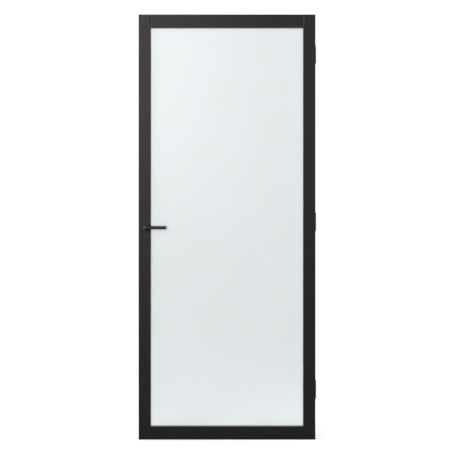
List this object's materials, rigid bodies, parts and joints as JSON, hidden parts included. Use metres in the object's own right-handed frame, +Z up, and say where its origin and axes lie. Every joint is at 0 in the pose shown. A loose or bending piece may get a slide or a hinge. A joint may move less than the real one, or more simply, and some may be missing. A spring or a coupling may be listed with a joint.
{
  "type": "glass door",
  "caption": "Slim black framed door leaf with one tall satin glass pane, a round lever handle on each side, a flush magnetic latch and butt hinges.",
  "frame": {"origin": "middle of the leaf's bottom edge, halfway through its thickness", "axes": "+Z up, +X from the latch edge to the hinge edge, +Y away from the front face, towards the side the leaf opens to"},
  "size_m": [0.8875, 0.15, 2.115],
  "materials": {
    "black_lacquer": "satin",
    "beech": "matte",
    "satin_glass": "satin",
    "black_tape": "matte",
    "setting_block": "matte",
    "plated_steel": "satin",
    "stainless": "satin",
    "spring_steel": "satin",
    "nickel": "satin",
    "brass": "satin",
    "black_handle": "satin",
    "nylon": "matte"
  },
  "bodies": {
    "jamb_hinges": {"top_hinge_frame_plate": "stainless", "top_hinge_pin": "stainless", "top_hinge_rings": "stainless", "middle_hinge_frame_plate": "stainless", "middle_hinge_pin": "stainless", "middle_hinge_rings": "stainless", "bottom_hinge_frame_plate": "stainless", "bottom_hinge_pin": "stainless", "bottom_hinge_rings": "stainless"},
    "leaf": {"lock_stile": "black_lacquer", "hinge_stile": "black_lacquer", "top_rail": "black_lacquer", "bottom_rail": "black_lacquer", "corner_dowels": "beech", "glass_pane": "satin_glass", "front_glazing_tape": "black_tape", "back_glazing_tape": "black_tape", "setting_blocks": "setting_block", "left_glazing_bead": "black_lacquer", "right_glazing_bead": "black_lacquer", "top_glazing_bead": "black_lacquer", "bottom_glazing_bead": "black_lacquer", "bead_pins": "plated_steel", "lock_case": "plated_steel", "lock_case_cover": "plated_steel", "lock_case_screws": "plated_steel", "forend": "stainless", "forend_screws": "stainless", "latch_spring": "spring_steel", "follower_spring": "spring_steel", "front_rosette": "black_handle", "back_rosette": "black_handle", "front_rosette_base": "plated_steel", "back_rosette_base": "plated_steel", "front_rosette_bush": "nylon", "back_rosette_bush": "nylon", "rosette_screws": "plated_steel", "top_hinge_leaf_plate": "stainless", "middle_hinge_leaf_plate": "stainless", "bottom_hinge_leaf_plate": "stainless", "leaf_hinge_screws": "stainless"},
    "handle": {"spindle": "plated_steel", "front_lever": "black_handle", "back_lever": "black_handle", "lever_grub_screws": "spring_steel", "follower": "brass"},
    "latch": {"latch_bolt": "stainless", "latch_magnet": "nickel"}
  },
  "joints": [
    {"name": "leaf_swing", "type": "hinge", "parent": "jamb_hinges", "child": "leaf", "pos_m": [0.4415, 0.027, 0], "axis": [0, 0, -1], "range_deg": [0, 175]},
    {"name": "handle_turn", "type": "hinge", "parent": "leaf", "child": "handle", "pos_m": [-0.41, 0, 1.054], "axis": [0, 1, 0], "range_deg": [0, 35], "stiffness_Nm_per_rad": 1.6, "springref_deg": -28.65, "deforming": ["follower_spring"]},
    {"name": "latch_slide", "type": "slide", "parent": "leaf", "child": "latch", "axis": [1, 0, 0], "range_m": [-0.009, 0], "stiffness_N_per_m": 60, "springref_m": 0.008, "deforming": ["latch_spring"]}
  ]
}
